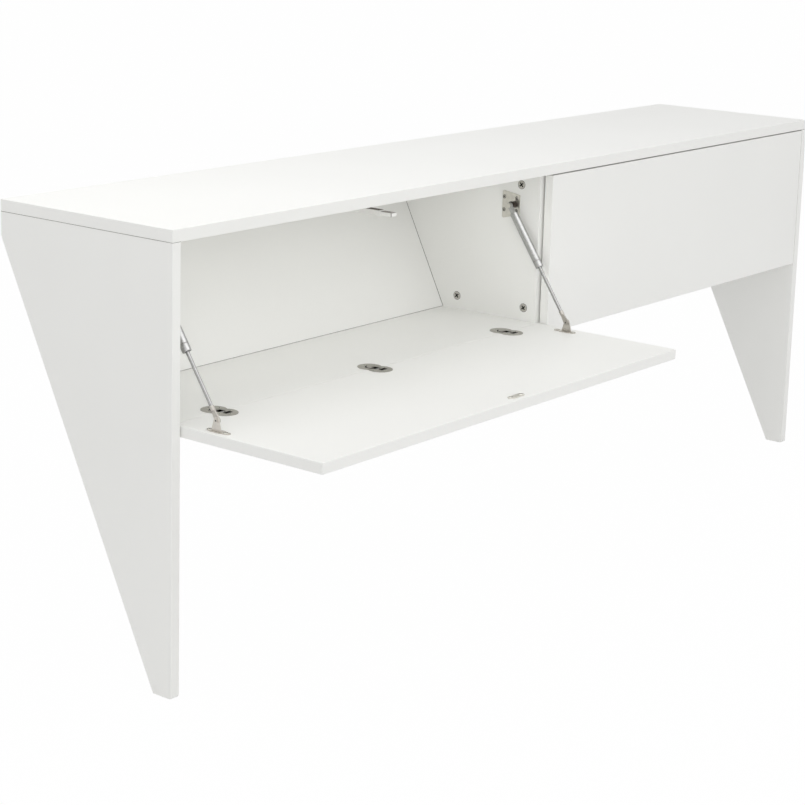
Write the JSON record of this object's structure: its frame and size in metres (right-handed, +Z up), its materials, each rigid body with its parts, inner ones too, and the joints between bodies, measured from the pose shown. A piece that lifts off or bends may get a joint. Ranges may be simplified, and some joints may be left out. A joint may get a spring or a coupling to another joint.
{
  "type": "floating media console",
  "caption": "Long white media console held on a wall rail, on slanting side panels, with drop-front flaps on hidden hinges and damper struts over shelf compartments.",
  "frame": {"origin": "centre of the row of wall screw holes, on the wall face of the mounting rail", "axes": "+X along the console to its right-hand side, +Y back into the wall, +Z up"},
  "size_m": [2.02, 0.6715, 0.75],
  "materials": {
    "white_board": "white melamine-faced board, satin",
    "nickel": "satin nickel",
    "chrome": "polished",
    "silver": "satin silver lacquer",
    "white_plastic": "moulded, satin",
    "dark_plastic": "moulded, matte",
    "steel": "zinc plated",
    "beech": "raw beech"
  },
  "bodies": {
    "carcass": {"top_panel": "white_board", "left_side_panel": "white_board", "right_side_panel": "white_board", "bottom_shelf": "white_board", "centre_divider": "white_board", "back_panel": "white_board", "wall_rail": "white_board", "cam_fittings": "nickel", "cam_bolts": "steel", "wooden_dowels": "beech", "back_panel_screws": "steel", "shelf_cup_screws": "nickel", "strut_plate_screws": "nickel", "strut_washers": "dark_plastic", "latch_screws": "steel", "left_shelf_hinge_cups": "nickel", "left_latch_housing": "white_plastic", "left_outer_strut_plate": "nickel", "left_inner_strut_plate": "nickel", "right_shelf_hinge_cups": "nickel", "right_latch_housing": "white_plastic", "right_outer_strut_plate": "nickel", "right_inner_strut_plate": "nickel"},
    "left_hinge_link_set": {"left_hinge_links": "steel", "left_hinge_pins": "steel"},
    "left_outer_cylinder": {"left_outer_strut_cylinder": "silver"},
    "left_outer_rod": {"left_outer_strut_rod": "chrome", "left_outer_strut_rod_end": "nickel"},
    "left_inner_cylinder": {"left_inner_strut_cylinder": "silver"},
    "left_inner_rod": {"left_inner_strut_rod": "chrome", "left_inner_strut_rod_end": "nickel"},
    "left_flap_set": {"left_flap": "white_board", "left_flap_hinge_cups": "nickel", "left_flap_cup_screws": "nickel", "left_bracket_screws": "nickel", "left_strike_plate": "nickel", "left_strike_screws": "nickel", "left_outer_strut_bracket": "nickel", "left_inner_strut_bracket": "nickel"},
    "left_plunger": {"left_latch_plunger": "white_plastic"},
    "right_hinge_link_set": {"right_hinge_links": "steel", "right_hinge_pins": "steel"},
    "right_outer_cylinder": {"right_outer_strut_cylinder": "silver"},
    "right_outer_rod": {"right_outer_strut_rod": "chrome", "right_outer_strut_rod_end": "nickel"},
    "right_inner_cylinder": {"right_inner_strut_cylinder": "silver"},
    "right_inner_rod": {"right_inner_strut_rod": "chrome", "right_inner_strut_rod_end": "nickel"},
    "right_flap_set": {"right_flap": "white_board", "right_flap_hinge_cups": "nickel", "right_flap_cup_screws": "nickel", "right_bracket_screws": "nickel", "right_strike_plate": "nickel", "right_strike_screws": "nickel", "right_outer_strut_bracket": "nickel", "right_inner_strut_bracket": "nickel"},
    "right_plunger": {"right_latch_plunger": "white_plastic"}
  },
  "joints": [
    {"name": "left_link_swing", "type": "hinge", "parent": "carcass", "child": "left_hinge_link_set", "pos_m": [0, -0.359, -0.277], "axis": [1, 0, 0], "range_deg": [0, 53.13]},
    {"name": "left_flap_turn", "type": "hinge", "parent": "left_hinge_link_set", "child": "left_flap_set", "pos_m": [0, -0.371, -0.271], "axis": [-1, 0, 0], "range_deg": [0, 143.13]},
    {"name": "left_outer_strut_swing", "type": "hinge", "parent": "carcass", "child": "left_outer_cylinder", "pos_m": [0, -0.309, -0.04503], "axis": [1, 0, 0], "range_deg": [0, 19.9]},
    {"name": "left_outer_strut_slide", "type": "slide", "parent": "left_outer_cylinder", "child": "left_outer_rod", "axis": [0, 0.5604, 0.8282], "range_m": [0, 0.08077]},
    {"name": "left_inner_strut_swing", "type": "hinge", "parent": "carcass", "child": "left_inner_cylinder", "pos_m": [0, -0.309, -0.04503], "axis": [1, 0, 0], "range_deg": [0, 19.9]},
    {"name": "left_inner_strut_slide", "type": "slide", "parent": "left_inner_cylinder", "child": "left_inner_rod", "axis": [0, 0.5604, 0.8282], "range_m": [0, 0.08077]},
    {"name": "left_latch_push", "type": "slide", "parent": "carcass", "child": "left_plunger", "axis": [0, 1, 0], "range_m": [0, 0.02371]},
    {"name": "right_link_swing", "type": "hinge", "parent": "carcass", "child": "right_hinge_link_set", "pos_m": [0, -0.359, -0.277], "axis": [-1, 0, 0], "range_deg": [0, 53.13]},
    {"name": "right_flap_turn", "type": "hinge", "parent": "right_hinge_link_set", "child": "right_flap_set", "pos_m": [0, -0.371, -0.283], "axis": [1, 0, 0], "range_deg": [0, 143.13]},
    {"name": "right_outer_strut_swing", "type": "hinge", "parent": "carcass", "child": "right_outer_cylinder", "pos_m": [0, -0.309, -0.04503], "axis": [-1, 0, 0], "range_deg": [0, 19.9]},
    {"name": "right_outer_strut_slide", "type": "slide", "parent": "right_outer_cylinder", "child": "right_outer_rod", "axis": [0, -0.2451, -0.9695], "range_m": [0, 0.08077]},
    {"name": "right_inner_strut_swing", "type": "hinge", "parent": "carcass", "child": "right_inner_cylinder", "pos_m": [0, -0.309, -0.04503], "axis": [-1, 0, 0], "range_deg": [0, 19.9]},
    {"name": "right_inner_strut_slide", "type": "slide", "parent": "right_inner_cylinder", "child": "right_inner_rod", "axis": [0, -0.2451, -0.9695], "range_m": [0, 0.08077]},
    {"name": "right_latch_push", "type": "slide", "parent": "carcass", "child": "right_plunger", "axis": [0, -1, 0], "range_m": [0, 0.02371]}
  ],
  "couplings": [
    {"joint": "left_link_swing", "follows": "left_flap_turn", "ratio": 0.3712},
    {"joint": "left_outer_strut_swing", "follows": "left_flap_turn", "ratio": 0.13903},
    {"joint": "left_outer_strut_slide", "follows": "left_flap_turn", "m_per_rad": 0.032327},
    {"joint": "left_inner_strut_swing", "follows": "left_flap_turn", "ratio": 0.13903},
    {"joint": "left_inner_strut_slide", "follows": "left_flap_turn", "m_per_rad": 0.032327},
    {"joint": "left_latch_push", "follows": "left_flap_turn", "m_per_rad": 0.0094872},
    {"joint": "right_link_swing", "follows": "right_flap_turn", "ratio": 0.3712},
    {"joint": "right_outer_strut_swing", "follows": "right_flap_turn", "ratio": 0.13903},
    {"joint": "right_outer_strut_slide", "follows": "right_flap_turn", "m_per_rad": 0.032327},
    {"joint": "right_inner_strut_swing", "follows": "right_flap_turn", "ratio": 0.13903},
    {"joint": "right_inner_strut_slide", "follows": "right_flap_turn", "m_per_rad": 0.032327},
    {"joint": "right_latch_push", "follows": "right_flap_turn", "m_per_rad": 0.0094872}
  ]
}
